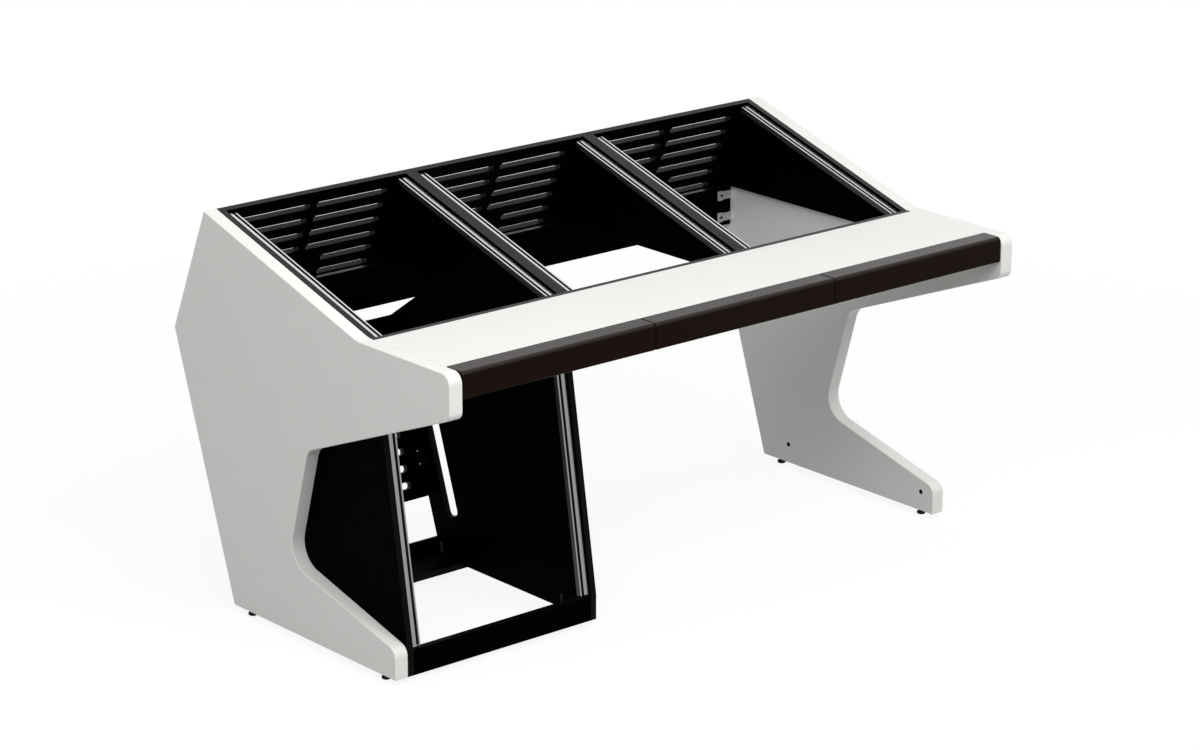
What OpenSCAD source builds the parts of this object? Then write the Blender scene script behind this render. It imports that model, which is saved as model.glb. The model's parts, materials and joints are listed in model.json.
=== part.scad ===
// Studio desk: two outer side panels carry a work top with a padded front edge,
// a frame of three sloping rack bays and one taller rack between the left legs.
// X runs to the right, Y to the back and Z up, all in millimetres.
// The origin is on the floor, under the middle of the desk.

/* [Desk] */
// Height of the work surface above the floor
desk_height = 751; // [700:1:820]
// Height of the levelling feet under the panels
foot_height = 15; // [12:0.5:30]
// Thickness of the outer side panels
side_thickness = 35; // [28:1:45]
// Depth of the flat top of a side panel, from its front end to the slope
flat_depth = 314; // [280:1:380]
// Thickness of the work top
top_thickness = 35; // [25:1:40]

/* [Rack bays] */
// Clear width of a bay between its boards
bay_width = 500; // [484:1:560]
// Height of a bay in rack units
bay_units = 12; // [8:1:14]
// Spare length of a bay beyond its rack units
bay_play = 32; // [5:0.1:44]
// Angle of the rack bays above level
rack_slope = 16.9; // [10:0.1:25]
// Thickness of the black boards
board = 15; // [12:1:19]
// Height of the lower edge of the bay boards under the work surface
frame_drop = 61; // [50:1:80]

/* [Side panel] */
// How far the arm of a panel reaches in front of its toe
arm_reach = 200; // [120:1:240]
// Height of the front end of the arm
arm_end = 98; // [75:1:120]
// Angle of the underside of the arm
arm_rise = 21.3; // [15:0.1:26]
// Distance from the toe back to the top of the knee space
knee_top = 302; // [260:1:340]
// Lean of the front edge of the leg
leg_lean = 16.4; // [5:0.1:20]
// Height of the front of the toe
toe_height = 69; // [50:1:100]
// Rise of the top of the toe towards the leg
toe_rise = 14.7; // [8:0.1:18]
// Radius of the corner between toe and leg
toe_corner = 60; // [30:1:100]
// Radius of the corner at the top of the knee space
knee_corner = 42; // [10:1:50]
// Radius at the upper front corner of the arm
arm_corner = 25; // [10:1:40]
// Radius at the lower front corner of the arm
arm_heel = 21; // [5:1:30]
// Radius of the front corner of the toe
toe_nose = 26; // [5:1:35]
// Lean of the upper back edge, from upright
back_lean = 23.8; // [12:0.1:30]
// Length of the upper back edge
back_length = 323; // [290:1:360]
// Lean of the lower back edge, from upright
leg_back_lean = 18.4; // [12:0.1:20]

/* [Vents] */
// Length of a long vent slot
vent_slot = 200; // [140:1:215]
// Length of a short vent slot
short_slot = 147; // [90:1:190]
// Height of a vent slot
slot_height = 16; // [10:1:26]
// Distance from row to row in the backs of the bays
slot_pitch = 40; // [34:0.5:42]
// Distance from the top edge of a panel to its first row
first_row = 37.6; // [30:0.1:45]
// Rows of long slots in the back of each bay
long_rows = 4; // [2:1:4]
// Rows of short slots in the back of each bay
short_rows = 2; // [0:1:2]
// Width of the web between the two columns of slots
vent_web = 16; // [10:1:40]

/* [Lower rack] */
// Height of the front bar
bar_height = 60; // [45:1:90]
// Distance from the front of the rack to the back edge of its walls at the floor
rack_depth = 543; // [480:1:560]
// Depth of the shelf at the back of the floor
shelf_depth = 100; // [60:1:140]
// Length of the low bar behind the shelf, along its lean
kick_length = 47; // [30:1:70]
// Height of the gap over the low bar, along its lean
kick_gap = 97; // [60:1:120]
// Rows of slots in the back panel of the rack
panel_rows = 10; // [6:1:10]
// Width of the cable slot in the walls
cable_slot = 45; // [25:1:60]
// Distance from the back edge of a wall to the middle of its cable slot
cable_inset = 77; // [60:1:100]
// Length of the cable slot
cable_length = 390; // [200:5:400]

/* [Rack rails] */
// Width of a rail across its top
rail_width = 25; // [22:0.5:26]
// Depth of a rail
rail_depth = 12.5; // [10:0.5:16]
// Distance of a rail below the edges of its boards
rail_recess = 6.5; // [3:0.5:10]
// Distance between the fixing slots of a pair of rails
slot_centres = 465.1; // [464:0.1:466]
// Width of the fixing slot
rail_slot = 7; // [5:0.1:7.4]
// Width of the channel under the fixing slot
rail_channel = 11.6; // [9:0.1:12]

/* [Front pads] */
// Depth of the pads at the front of the work top
pad_depth = 55; // [40:1:70]
// Height of the pads
pad_height = 60; // [50:1:65]
// Radius of the upper front edge of a pad
pad_round = 11; // [4:0.5:16]
// How far the front ends of the arms stand in front of the pads
pad_setback = 2; // [0:0.5:8]
// Gap at each joint between two pads
pad_gap = 0.6; // [0.2:0.1:2]

/* [Back rail] */
// Height of the upright rail across the back
back_rail_height = 100; // [60:1:120]
// Distance from the front of the toe to the back rail
back_rail_y = 730; // [700:1:735]

/* [Feet] */
// Diameter of a foot pad
foot_pad_d = 21; // [16:1:30]
// Thickness of a foot pad
foot_pad_h = 6.5; // [4:0.5:8]
// Diameter of the threaded stud of a foot
stud_d = 8; // [6:1:10]
// Distance of the front feet from the front of the toe
front_foot = 55; // [40:1:90]
// Distance of the back feet from the front of the toe
back_foot = 550; // [480:1:560]

/* [Hidden] */

black = [0.05, 0.05, 0.055];
white = [0.93, 0.93, 0.91];
alloy = [0.75, 0.76, 0.77];
steel = [0.62, 0.62, 0.6];
leather = [0.16, 0.13, 0.11];
rubber = [0.03, 0.03, 0.03];
beech = [0.76, 0.62, 0.42];

bays = 3;
rack_unit = 44.45;
arc_step = 5;
vent_hole = [229, 62];
vent_hole_d = 4;
back_rail_drop = 2;
fit = 0.05;
partition = 2 * board;
inner_width = bays * bay_width + (bays - 1) * partition + 2 * board;
half_inner = inner_width / 2;
half_width = half_inner + side_thickness;
bay_pitch = bay_width + partition;

// Heights count from the lower edge of the side panels
surface = desk_height - foot_height;
frame_z = surface - frame_drop;

// Corners of a side panel, as [distance back from the toe, height]
bay_length = bay_units * rack_unit + bay_play;
along = [cos(rack_slope), sin(rack_slope)];
arm_front = -arm_reach;
slope_start = [arm_front + flat_depth, surface];
back_board = board / cos(90 - rack_slope - 90 + back_lean);
slope_end = slope_start + along * (bay_length + back_board);
back_corner = slope_end + back_length * [sin(back_lean), -cos(back_lean)];
heel = [back_corner[0] - back_corner[1] * tan(leg_back_lean), 0];
toe_top = [0, toe_height];
arm_low = [arm_front, surface - arm_end];
knee_high = [knee_top, arm_low[1] - (knee_top - arm_front) * tan(arm_rise)];
knee_low_y = (knee_top + (knee_high[1] - toe_height) * tan(leg_lean))
  / (1 + tan(toe_rise) * tan(leg_lean));
knee_low = [knee_low_y, toe_height + knee_low_y * tan(toe_rise)];
back_corner_r = 4;
slope_corner_r = 90;

// The back corner is rounded, so the deepest point is on its arc
back_reach = arc_centre(slope_end, back_corner, heel, back_corner_r)[0] + back_corner_r;
mid_y = (arm_front + back_reach) / 2;

// Lower rack: its front edge leans from the bar back to the front board
rack_left = -half_inner;
rack_right = rack_left + bay_width + 2 * board;
front_board_y = slope_start[0] - board;
rack_lean = atan(front_board_y / (frame_z - bar_height));
rack_front_length = norm([front_board_y, frame_z - bar_height]);
panel_low = kick_length + kick_gap;
panel_gap = 27.2;
back_rail_low = frame_z - back_rail_drop - back_rail_height;
panel_length = (back_rail_low - panel_gap) / cos(leg_back_lean) - panel_low;
panel_first_row = first_row - 2;
panel_pitch = (panel_length - 2 * panel_first_row) / (panel_rows - 1);
wall_back_top = (panel_low + panel_length) * cos(leg_back_lean);
cable_low = 90;
cable_corner = 12;
notch_rise = 75;
notch_depth = 110;
rail_side_gap = (bay_width - slot_centres) / 2;

// Screws, dowels and bolts
screw_d = 3.5;
screw_head_d = 7;
screw_head_h = 2;
screw_length = 13;
screw_bite = 7;
stud_hold = 11;
rail_stud_count = 4;
dowel_d = 8;
dowel_length = 30;
top_dowel_in = 30;
bolt_d = 5;
bolt_head_d = 7;
bolt_head_h = 3;
bolt_length = 33;
bolt_height = 23;
bolt_front = 148;
bolt_back = 587;
rack_bolt_d = 6;
insert_d = 12;
insert_length = 14;
rack_hole_z = 47.6;
rack_hole_front = 40.6;
rack_hole_in = 35.3;
rack_hole_back = rack_depth - rack_hole_in;

// Plates of the brackets
plate = 2;
corner_plate = [46, 25];
corner_neck = 20.5;
corner_head = 16;
corner_hole_in = 34;
corner_levels = [24, 80];
angle_leg = 20;
angle_height = 62;
angle_pitch = 31;
angle_level = 237;
angle_hole = 7;

// Feet: [x, y] of each, the last two stand under the right wall of the rack
foot_inset = half_inner + side_thickness / 2;
rack_foot_x = rack_right - board - 7;
rack_foot_front = 94;
rack_foot_in = 12;
rack_foot_back = rack_depth - rack_foot_in;
feet = [
  [-foot_inset, front_foot], [foot_inset, front_foot],
  [-foot_inset, back_foot], [foot_inset, back_foot],
  [rack_foot_x, rack_foot_front], [rack_foot_x, rack_foot_back]
];
stud_reach = 40;
stud_gap = 0.08;
foot_insert_d = 13;
foot_insert_h = 24;
shelf_insert_h = board - 1;
foot_flange_h = 1.2;
foot_plate = [30, 24, 2];
collar_d = 13;
collar_h = foot_height - foot_pad_h - 3.2;

// Pads
pad_front = arm_front + pad_setback;
pad_back = pad_front + pad_depth;
pad_length = inner_width / 3;
pad_edge = 3;
pad_bracket = [60, 40, 22];

// Points where a fillet of radius r meets the corner p between a and b
function unit(v) = v / norm(v);
function half_angle(a, p, b) = acos(unit(a - p) * unit(b - p)) / 2;
function arc_centre(a, p, b, r) =
  p + unit(unit(a - p) + unit(b - p)) * r / sin(half_angle(a, p, b));
function heading(v) = atan2(v[1], v[0]);
function turn(a, b) = (b - a + 540) % 360 - 180;
function fillet(a, p, b, r) = r <= 0 ? [p] :
  let (
    c = arc_centre(a, p, b, r),
    t = r / tan(half_angle(a, p, b)),
    from = heading(p + unit(a - p) * t - c),
    sweep = turn(from, heading(p + unit(b - p) * t - c)),
    n = ceil(abs(sweep) / arc_step)
  ) [for (i = [0:n]) c + r * [cos(from + sweep * i / n), sin(from + sweep * i / n)]];

// Outline of [point, radius] corners with every corner rounded
function rounded(corners) = let (n = len(corners)) [
  for (i = [0:n - 1])
    each fillet(
      corners[(i + n - 1) % n][0], corners[i][0], corners[(i + 1) % n][0],
      corners[i][1]
    )
];

function bay_x(i) = (i - (bays - 1) / 2) * bay_pitch;

// Moves the desk from the toe's corner to the origin on the floor
module stand() {
  translate([0, -mid_y, foot_height]) children();
}

// Extrudes an outline drawn in [y, z] from x0 to x1
module across(x0, x1) {
  translate([x0, 0, 0]) rotate([90, 0, 90]) linear_extrude(x1 - x0) children();
}

// Frames whose local y runs up a sloping edge: z points up and out of the bays and
// of the front of the rack, and forward from the two back edges
module on_slope() {
  translate([0, slope_start[0], slope_start[1]]) rotate([rack_slope, 0, 0]) children();
}
module on_back() {
  translate([0, slope_end[0], slope_end[1]]) rotate([90 + back_lean, 0, 0]) children();
}
module on_rack_back() {
  translate([0, rack_depth, 0]) rotate([90 - leg_back_lean, 0, 0]) children();
}
module on_rack_front() {
  translate([0, 0, bar_height]) rotate([90 - rack_lean, 0, 0]) children();
}

module side_outline() {
  polygon(rounded([
    [[0, 0], 2], [toe_top, toe_nose], [knee_low, toe_corner],
    [knee_high, knee_corner], [arm_low, arm_heel],
    [[arm_front, surface], arm_corner], [slope_start, slope_corner_r],
    [slope_end, 2], [back_corner, back_corner_r], [heel, 2]
  ]));
}

// Side panel from x0 to x1, its inner face on the side of the desk's middle
module side_panel(x0, side) {
  inner = side < 0 ? x0 + side_thickness : x0;
  color(white) stand() difference() {
    across(x0, x0 + side_thickness) side_outline();
    for (y = [front_foot, back_foot])
      translate([side * foot_inset, y, -1])
        cylinder(h = stud_reach + 3, d = foot_insert_d, $fn = 48);
    for (y = [rack_hole_front, rack_hole_back])
      translate([inner, y, rack_hole_z]) rotate([0, side * 90, 0])
        translate([0, 0, -1]) cylinder(h = insert_length + 2, d = insert_d, $fn = 48);
    for (p = bay_bolt_places())
      translate([inner, p[0], p[1]]) rotate([0, side * 90, 0]) translate([0, 0, -1])
        cylinder(h = bolt_length - board + 2, d = bolt_d + 2 * fit, $fn = 32);
    for (y = top_dowel_rows())
      translate([inner, y, surface - top_thickness / 2]) rotate([0, side * 90, 0])
        translate([0, 0, -1])
          cylinder(h = dowel_length / 2 + 2, d = dowel_d + 2 * fit, $fn = 32);
  }
}
module left_side_panel() side_panel(-half_width, -1);
module right_side_panel() side_panel(half_inner, 1);

function top_dowel_rows() =
  [for (i = [0:2]) pad_back + top_dowel_in + i * (front_board_y - pad_back - 2 * top_dowel_in) / 2];

module work_top() {
  color(white) stand() difference() {
    across(-half_inner, half_inner)
      translate([pad_back, surface - top_thickness])
        square([front_board_y - pad_back, top_thickness]);
    for (side = [-1, 1], y = top_dowel_rows())
      translate([side * (half_inner + 1), y, surface - top_thickness / 2])
        rotate([0, -side * 90, 0])
          cylinder(h = dowel_length / 2 + 2, d = dowel_d + 2 * fit, $fn = 32);
  }
}

module front_board() {
  color(black) stand() across(-half_inner, half_inner)
    translate([front_board_y, frame_z]) square([board, frame_drop]);
}

// Inner face of the vent panel meets the slope and the lower edge here
vent_in = slope_end - along * back_board;
vent_foot_y = vent_in[0] + (vent_in[1] - frame_z) * tan(back_lean);

module bay_outline() {
  polygon([
    [slope_start[0], frame_z], slope_start, vent_in, [vent_foot_y, frame_z]
  ]);
}

// Screw rows of the bay rails, as distances along the slope
bay_rail_start = 2;
bay_rail_length = bay_length - 7;
function rail_rows(length) =
  [for (i = [0:rail_stud_count - 1]) length * (i + 0.5) / rail_stud_count];

// Blind holes in a board for the studs of its rail
module rail_stud_holes(length, start, side) {
  for (y = rail_rows(length))
    translate([0, start + y, web_z()]) rotate([0, -side * 90, 0])
      translate([0, 0, -1]) cylinder(h = stud_hold + 2, d = screw_d + 2 * fit, $fn = 24);
}
function web_z() = -rail_recess - rail_depth / 2;

// Board on one side of bay i, which carries a rail on its inner face
module bay_board(i, side) {
  x = bay_x(i) - side * bay_width / 2;
  outer = x - side * board;
  color(black) stand() difference() {
    across(min(x, outer), max(x, outer)) bay_outline();
    translate([x, 0, 0]) on_slope() rail_stud_holes(bay_rail_length, bay_rail_start, side);
    for (p = bay_bolt_places())
      translate([x, p[0], p[1]]) rotate([0, -side * 90, 0]) {
        translate([0, 0, -1]) cylinder(h = board + 2, d = bolt_d + 2 * fit, $fn = 32);
        translate([0, 0, -1]) cylinder(h = bolt_head_h + 1.2, d = bolt_head_d + 2 * fit, $fn = 32);
      }
    if (i == 0) wall_dowel_bores(side > 0 ? 0 : 1, 1);
  }
}
function bay_bolt_places() =
  [for (y = [bolt_front, bolt_back]) [slope_start[0] + y, frame_z + bolt_height]];

// Slot with round ends, cut through a panel whose faces are at z = 0 and z = t
module slot(length, height, t) {
  translate([-(length - height) / 2, -height / 2, -1])
    cube([length - height, height, t + 2]);
  for (side = [-1, 1])
    translate([side * (length - height) / 2, 0, -1])
      cylinder(h = t + 2, d = height, $fn = 48);
}

module vent_panel() {
  color(black) stand() difference() {
    across(-half_inner, half_inner) polygon([
      slope_end, vent_in,
      vent_in + (back_length - 12) * [sin(back_lean), -cos(back_lean)],
      slope_end + (back_length - 12) * [sin(back_lean), -cos(back_lean)]
    ]);
    on_back() for (i = [0:bays - 1], side = [-1, 1], row = [0:long_rows + short_rows - 1])
      let (length = row < long_rows ? vent_slot : short_slot)
        translate([
          bay_x(i) + side * (vent_web / 2 + vent_slot - length / 2),
          -first_row - row * slot_pitch, 0
        ]) slot(length, slot_height, board);
    on_back() for (i = [0:bays - 1], side = [-1, 1])
      translate([bay_x(i) + side * vent_hole[0], -vent_hole[1], -1])
        cylinder(h = board + 2, d = vent_hole_d, $fn = 24);
  }
}

module back_rail() {
  color(black) stand()
    translate([
      -half_inner + plate, back_rail_y, back_rail_low
    ])
      cube([inner_width - 2 * plate, board, back_rail_height]);
}

// Wall of the lower rack
module wall_outline() {
  back = [rack_depth + wall_back_top * tan(leg_back_lean), wall_back_top];
  polygon([
    [0, 0], [0, bar_height], [front_board_y, frame_z],
    [back[0] - notch_depth, frame_z], [back[0] - notch_depth, back[1] + notch_rise],
    back, [rack_depth, 0]
  ]);
}

wall_dowel_rows = [50, 250, 450];
module wall_dowel_bores(which, side) {
  x = which == 0 ? rack_left + board / 2 : rack_right - board / 2;
  for (y = wall_dowel_rows)
    translate([x, front_board_y + y, frame_z]) rotate([side < 0 ? 180 : 0, 0, 0])
      translate([0, 0, -1]) cylinder(h = dowel_length / 2 + 2, d = dowel_d + 2 * fit, $fn = 32);
}

// Dowels that hold the front bar and the shelf between the walls, as [y, z]
bar_dowel_places = [
  [board / 2, bar_height * 0.3], [board / 2, bar_height * 0.7],
  [rack_depth - shelf_depth * 0.75, board / 2], [rack_depth - shelf_depth * 0.3, board / 2]
];
bar_dowel_d = 6;
bar_dowel_length = 22;
module bar_dowel_bores(x, side) {
  for (p = bar_dowel_places)
    translate([x, p[0], p[1]]) rotate([0, side * 90, 0])
      translate([0, 0, -1])
        cylinder(h = bar_dowel_length / 2 + 1.5, d = bar_dowel_d + 2 * fit, $fn = 32);
}

module rack_wall(x0, side) {
  inner = side < 0 ? x0 + board : x0;
  color(black) stand() difference() {
    across(x0, x0 + board) wall_outline();
    translate([x0 - 1, 0, 0]) on_rack_back() across(0, board + 2) cable_outline();
    translate([inner, 0, 0]) on_rack_front() rail_stud_holes(rack_rail_length, rack_rail_start, -side);
    wall_dowel_bores(side < 0 ? 0 : 1, -1);
    bar_dowel_bores(inner, side);
    if (side < 0) for (y = [rack_hole_front, rack_hole_back])
      translate([x0 - 1, y, rack_hole_z]) rotate([0, 90, 0])
        cylinder(h = board + 2, d = rack_bolt_d + 2 * fit, $fn = 32);
  }
}
module rack_left_wall() rack_wall(rack_left, -1);
module rack_right_wall() rack_wall(rack_right - board, 1);
module cable_outline() {
  low = [cable_low, cable_inset - cable_slot / 2];
  high = low + [cable_length, cable_slot];
  polygon(rounded([
    [low, cable_corner], [[high[0], low[1]], cable_corner],
    [high, cable_corner], [[low[0], high[1]], cable_corner]
  ]));
}

rack_rail_start = board * tan(rack_lean) + 0.5;
rack_rail_length = rack_front_length - rack_rail_start - 2;

module rack_front_bar() {
  color(black) stand() difference() {
    translate([rack_left + board, 0, 0]) cube([bay_width, board, bar_height]);
    bar_dowel_bores(rack_left + board, 1);
    bar_dowel_bores(rack_right - board, -1);
  }
}

module rack_shelf() {
  color(black) stand() difference() {
    across(rack_left + board, rack_right - board) polygon([
      [rack_depth - shelf_depth, 0], [rack_depth - shelf_depth, board],
      [rack_depth + board * tan(leg_back_lean), board], [rack_depth, 0]
    ]);
    translate([feet[5][0], feet[5][1], -1])
      cylinder(h = board + 2, d = insert_body(5), $fn = 48);
    bar_dowel_bores(rack_left + board, 1);
    bar_dowel_bores(rack_right - board, -1);
  }
}

module rack_kick_bar() {
  color(black) stand() across(rack_left, rack_right) polygon([
    [rack_depth, 0],
    [rack_depth + kick_length * sin(leg_back_lean), kick_length * cos(leg_back_lean)],
    [
      rack_depth + kick_length * sin(leg_back_lean) + board * cos(leg_back_lean),
      kick_length * cos(leg_back_lean) - board * sin(leg_back_lean)
    ],
    [rack_depth + board / cos(leg_back_lean), 0]
  ]);
}

module rack_back_panel() {
  color(black) stand() on_rack_back() difference() {
    translate([rack_left, panel_low, -board])
      cube([rack_right - rack_left, panel_length, board]);
    for (side = [-1, 1], row = [0:panel_rows - 1])
      translate([
        (rack_left + rack_right) / 2 + side * (vent_web / 2 + vent_slot / 2),
        panel_low + panel_first_row + row * panel_pitch, -board
      ]) slot(vent_slot, slot_height, board);
  }
}

// Section of a rail in [x, z], with x from the face of its board
module rail_section() {
  wall = 2;
  difference() {
    translate([0, -rail_depth]) square([rail_width, rail_depth]);
    translate([rail_side_gap - rail_slot / 2, -wall]) square([rail_slot, wall + 1]);
    translate([rail_side_gap - rail_channel / 2, -wall - 6]) square([rail_channel, 6]);
  }
}

// Rail along local y on the face of a board, with holes in the web beside it
module rail(length, side) {
  mirror([side < 0 ? 1 : 0, 0, 0]) difference() {
    translate([0, length, -rail_recess]) rotate([90, 0, 0])
      linear_extrude(length) rail_section();
    for (y = rail_rows(length))
      translate([-1, y, web_z()]) rotate([0, 90, 0])
        cylinder(h = screw_bite + 1.5, d = screw_d + 2 * fit, $fn = 24);
  }
}
module bay_rail(i, side) {
  color(alloy) stand()
    translate([bay_x(i) - side * bay_width / 2, 0, 0]) on_slope()
      translate([0, bay_rail_start, 0]) rail(bay_rail_length, side);
}
module rack_rail(side) {
  middle = (rack_left + rack_right) / 2;
  color(alloy) stand()
    translate([middle - side * bay_width / 2, 0, 0]) on_rack_front()
      translate([0, rack_rail_start, 0]) rail(rack_rail_length, side);
}

// Screw with its head at the origin and its shank along -z
module screw(d, length, head_d, head_h) {
  cylinder(h = head_h, d = head_d, $fn = 32);
  translate([0, 0, -length]) cylinder(h = length + 0.5, d = d, $fn = 24);
}

// Studs from a board into the web of its rail
module rail_studs(length, start, side) {
  for (y = rail_rows(length))
    translate([-side * stud_hold, start + y, web_z()]) rotate([0, side * 90, 0])
      cylinder(h = stud_hold + screw_bite, d = screw_d, $fn = 24);
}
module bay_rail_studs() {
  color(steel) stand() for (i = [0:bays - 1], side = [-1, 1])
    translate([bay_x(i) - side * bay_width / 2, 0, 0]) on_slope()
      rail_studs(bay_rail_length, bay_rail_start, side);
}
module rack_rail_studs() {
  color(steel) stand() for (side = [-1, 1])
    translate([(rack_left + rack_right) / 2 - side * bay_width / 2, 0, 0])
      on_rack_front() rail_studs(rack_rail_length, rack_rail_start, side);
}

// Pad with a rounded upper front edge and eased ends
module pad_outline() {
  low = surface - pad_height;
  polygon(rounded([
    [[pad_front, low], pad_edge], [[pad_front, surface], pad_round],
    [[pad_back, surface], 1], [[pad_back, low], 1]
  ]));
}
module pad(i) {
  x0 = -half_inner + i * pad_length + pad_gap / 2;
  color(leather) stand() difference() {
    across(x0, x0 + pad_length - pad_gap) pad_outline();
    pad_screw_holes();
  }
}
module left_pad() pad(0);
module middle_pad() pad(1);
module right_pad() pad(2);

// Steel angles under the work top hold the pads
function pad_bracket_xs() = [for (i = [0:2], side = [-1, 1])
  -half_inner + (i + 0.5 + side * 0.3) * pad_length];
module pad_brackets() {
  low = surface - top_thickness;
  color(steel) stand() difference() {
    for (x = pad_bracket_xs())
      translate([x - pad_bracket[0] / 2, pad_back, low]) {
        translate([0, 0, -plate]) cube([pad_bracket[0], pad_bracket[1], plate]);
        translate([0, 0, -pad_bracket[2]]) cube([pad_bracket[0], plate, pad_bracket[2]]);
      }
    pad_screw_holes();
  }
}
module pad_screw_holes() {
  for (x = pad_bracket_xs(), side = [-1, 1])
    translate([x + side * pad_bracket[0] / 4, pad_back + 10, pad_screw_z()])
      rotate([90, 0, 0]) cylinder(h = screw_length + 11, d = screw_d + 2 * fit, $fn = 24);
}
function pad_screw_z() = surface - top_thickness - 12;
module pad_bracket_screws() {
  color(steel) stand() for (x = pad_bracket_xs(), side = [-1, 1])
    translate([x + side * pad_bracket[0] / 4, pad_back + plate, pad_screw_z()])
      rotate([-90, 0, 0]) screw(screw_d, screw_length, screw_head_d, screw_head_h);
}

// Brackets that hold the ends of the back rail to the side panels
module corner_bracket() {
  neck_length = corner_plate[0] - corner_head;
  difference() {
    union() {
      translate([0, -plate, -corner_neck / 2]) cube([neck_length + 1, plate, corner_neck]);
      translate([neck_length, -plate, -corner_plate[1] / 2])
        cube([corner_head, plate, corner_plate[1]]);
      translate([0, -plate, -corner_neck / 2]) cube([plate, board + plate, corner_neck]);
    }
    translate([corner_hole_in, -plate - 1, 0]) rotate([-90, 0, 0])
      cylinder(h = plate + 2, d = 4 + 2 * fit, $fn = 32);
  }
}
module at_corners() {
  for (side = [-1, 1], level = corner_levels)
    translate([side * half_inner, back_rail_y, frame_z - level])
      mirror([side > 0 ? 1 : 0, 0, 0]) children();
}
module corner_brackets() {
  color(alloy) stand() at_corners() corner_bracket();
}
module corner_bracket_screws() {
  color(black) stand() at_corners()
    translate([corner_hole_in, -plate, 0]) rotate([90, 0, 0]) cylinder(h = 1.6, d = 6, $fn = 32);
}

// Angles in the corners between the back panel of the rack and its walls
module angle_bracket(side) {
  difference() {
    union() {
      translate([side < 0 ? 0 : -angle_leg, 0, 0]) cube([angle_leg, angle_height, plate]);
      translate([side < 0 ? 0 : -plate, 0, 0]) cube([plate, angle_height, angle_leg]);
    }
    for (y = [-1, 1])
      translate([-side * angle_hole, angle_height / 2 + y * angle_pitch / 2, -1])
        cylinder(h = plate + 2, d = 4 + 2 * fit, $fn = 32);
  }
}
module angle_brackets() {
  color(black) stand() for (side = [-1, 1])
    translate([side < 0 ? rack_left + board : rack_right - board, 0, 0]) on_rack_back()
      translate([0, angle_level - angle_height / 2, 0]) angle_bracket(side);
}
module angle_bracket_screws() {
  color(steel) stand() for (side = [-1, 1], y = [-1, 1])
    translate([side < 0 ? rack_left + board : rack_right - board, 0, 0]) on_rack_back()
      translate([-side * angle_hole, angle_level + y * angle_pitch / 2, plate])
        cylinder(h = 1.6, d = 7, $fn = 32);
}

// Screws from the outer bay boards into the side panels
module panel_screws() {
  color(black) stand() for (side = [-1, 1], p = bay_bolt_places())
    translate([side * (half_inner - board), p[0], p[1]]) rotate([0, side * 90, 0]) {
      translate([0, 0, 0.3]) cylinder(h = bolt_head_h - 0.3, d = bolt_head_d, $fn = 32);
      translate([0, 0, bolt_head_h - 0.5])
        cylinder(h = bolt_length - bolt_head_h, d = bolt_d, $fn = 24);
    }
}

// Bolts with sleeve nuts that join the boards of neighbouring bays
module bay_connectors() {
  color(black) stand() for (i = [0:bays - 2], p = bay_bolt_places())
    translate([bay_x(i) + bay_width / 2, p[0], p[1]]) rotate([0, 90, 0]) {
      for (z = [0.3, partition - bolt_head_h])
        translate([0, 0, z]) cylinder(h = bolt_head_h - 0.3, d = bolt_head_d, $fn = 32);
      translate([0, 0, bolt_head_h - 1])
        cylinder(h = partition - 2 * bolt_head_h + 2, d = bolt_d, $fn = 24);
    }
}

// Bolts that hold the left wall of the lower rack to its side panel
module rack_wall_bolts() {
  color(black) stand() for (y = [rack_hole_front, rack_hole_back])
    translate([rack_left + board, y, rack_hole_z]) rotate([0, 90, 0])
      screw(rack_bolt_d, board + insert_length - 2, 11, 3.5);
}

module wall_dowels() {
  color(beech) stand() for (x = [rack_left + board / 2, rack_right - board / 2],
      y = wall_dowel_rows)
    translate([x, front_board_y + y, frame_z - dowel_length / 2])
      cylinder(h = dowel_length, d = dowel_d, $fn = 32);
}
module bar_dowels() {
  color(beech) stand() for (x = [rack_left + board, rack_right - board], p = bar_dowel_places)
    translate([x - bar_dowel_length / 2, p[0], p[1]]) rotate([0, 90, 0])
      cylinder(h = bar_dowel_length, d = bar_dowel_d, $fn = 32);
}
module top_dowels() {
  color(beech) stand() for (side = [-1, 1], y = top_dowel_rows())
    translate([side * half_inner - dowel_length / 2, y, surface - top_thickness / 2])
      rotate([0, 90, 0]) cylinder(h = dowel_length, d = dowel_d, $fn = 32);
}

// Threaded inserts in the side panels, open at their inner faces
module rack_inserts() {
  color(black) stand() for (side = [-1, 1], y = [rack_hole_front, rack_hole_back])
    translate([side * half_inner, y, rack_hole_z]) rotate([0, side * 90, 0]) difference() {
      cylinder(h = insert_length, d = insert_d - 2 * fit, $fn = 48);
      translate([0, 0, -1])
        cylinder(h = insert_length + 2, d = rack_bolt_d + 2 * fit, $fn = 32);
    }
}

// Nuts pressed in from below, with a thin flange: four in the side panels and one
// in the shelf of the rack
module foot_insert(i) {
  height = i > 3 ? shelf_insert_h : foot_insert_h;
  translate([feet[i][0], feet[i][1], 0]) difference() {
    union() {
      cylinder(h = height, d = insert_body(i) - 2 * fit, $fn = 48);
      translate([0, 0, -foot_flange_h])
        cylinder(h = foot_flange_h, d = foot_insert_d + (i > 3 ? 0 : 6), $fn = 48);
    }
    translate([0, 0, -2]) cylinder(h = height + 4, d = stud_d + 2 * stud_gap, $fn = 48);
  }
}
function insert_body(i) = i > 3 ? foot_insert_d - 2 : foot_insert_d;
module foot_inserts() {
  color(steel) stand() for (i = [0, 1, 2, 3, 5]) foot_insert(i);
}

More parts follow.
